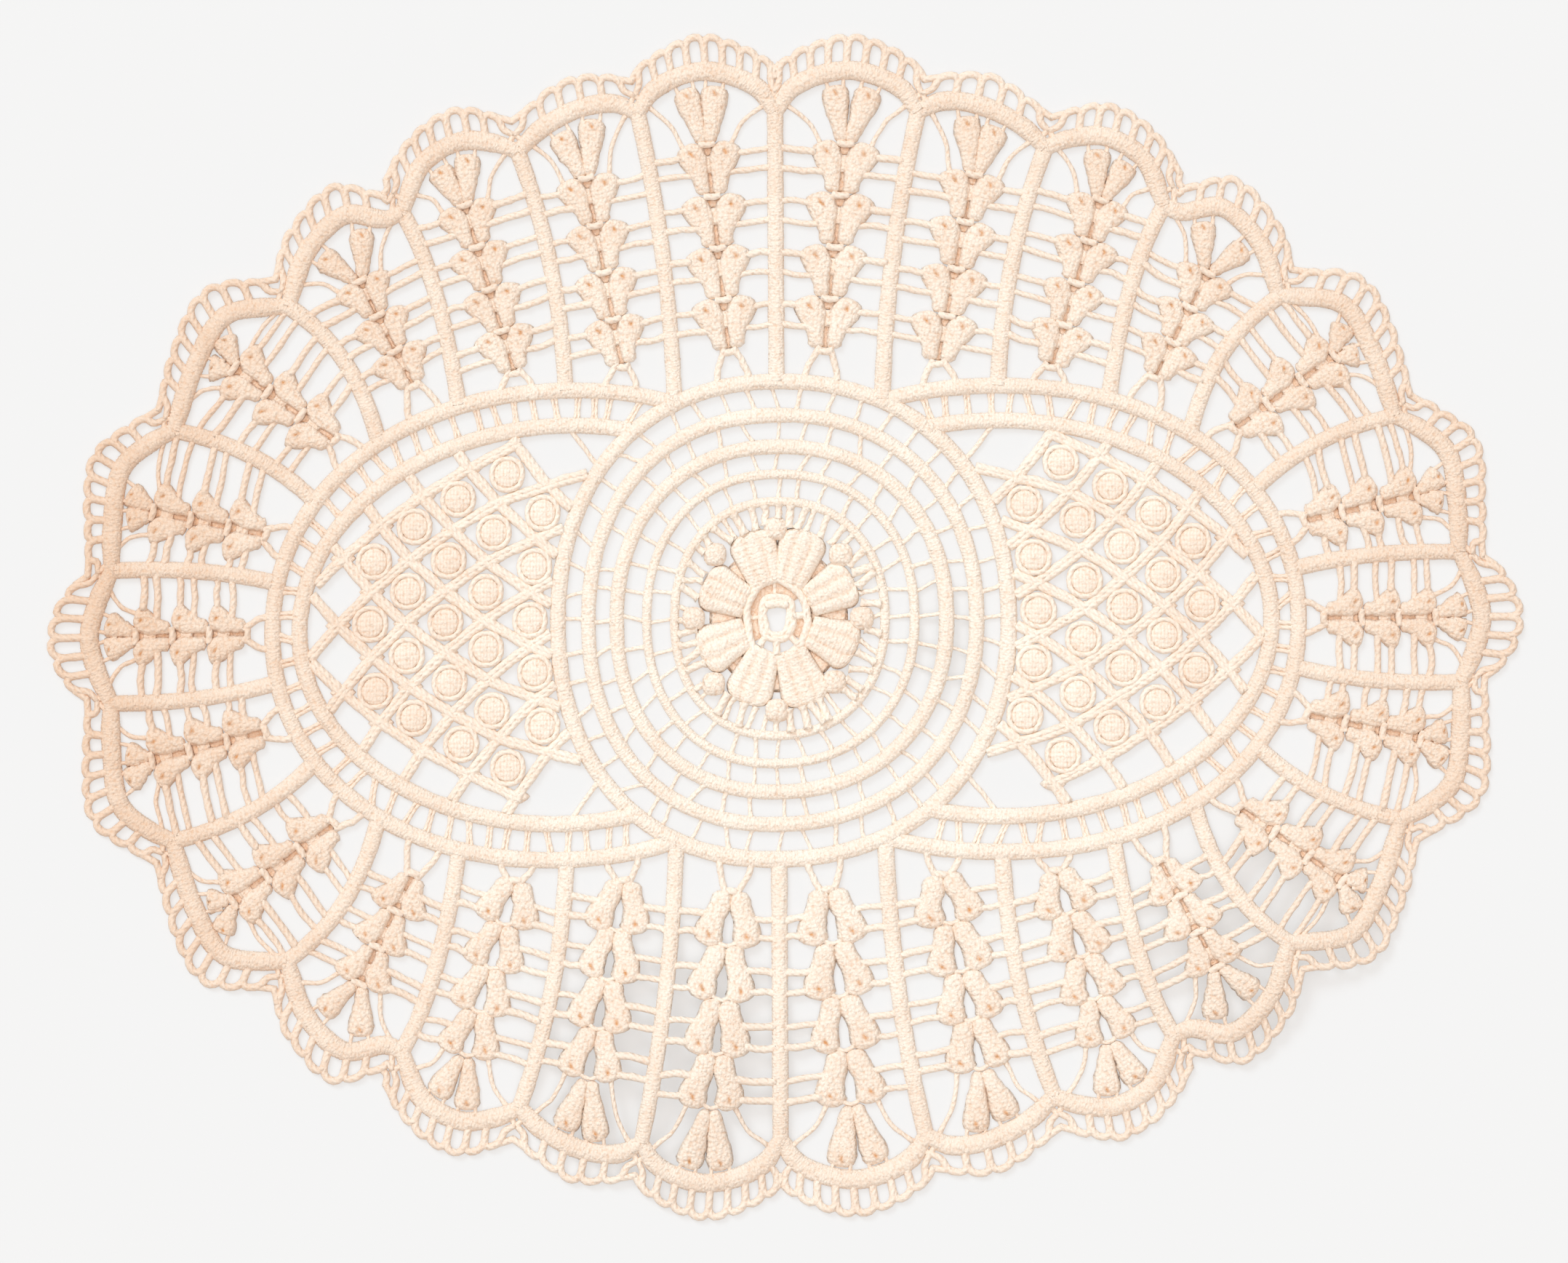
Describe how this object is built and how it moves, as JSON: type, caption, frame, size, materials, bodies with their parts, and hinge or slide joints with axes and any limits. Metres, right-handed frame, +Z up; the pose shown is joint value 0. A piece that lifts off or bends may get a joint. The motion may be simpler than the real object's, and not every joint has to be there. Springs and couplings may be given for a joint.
{
  "type": "crochet placemat",
  "caption": "Oval openwork table mat of cotton crochet, with a round flower medallion, two lattice panels, arched fans of leaf sprays and a looped scalloped edge.",
  "frame": {"origin": "middle of the mat's box, on the surface it lies on", "axes": "+X along the long side, +Y across the mat, +Z up out of the worked face"},
  "size_m": [0.4392, 0.3516, 0.0086],
  "materials": {
    "cotton": "ecru crochet cotton, matt, slightly fuzzy, ribbed where the tapes are worked"
  },
  "bodies": {
    "root": {"placemat": "cotton"}
  },
  "joints": []
}
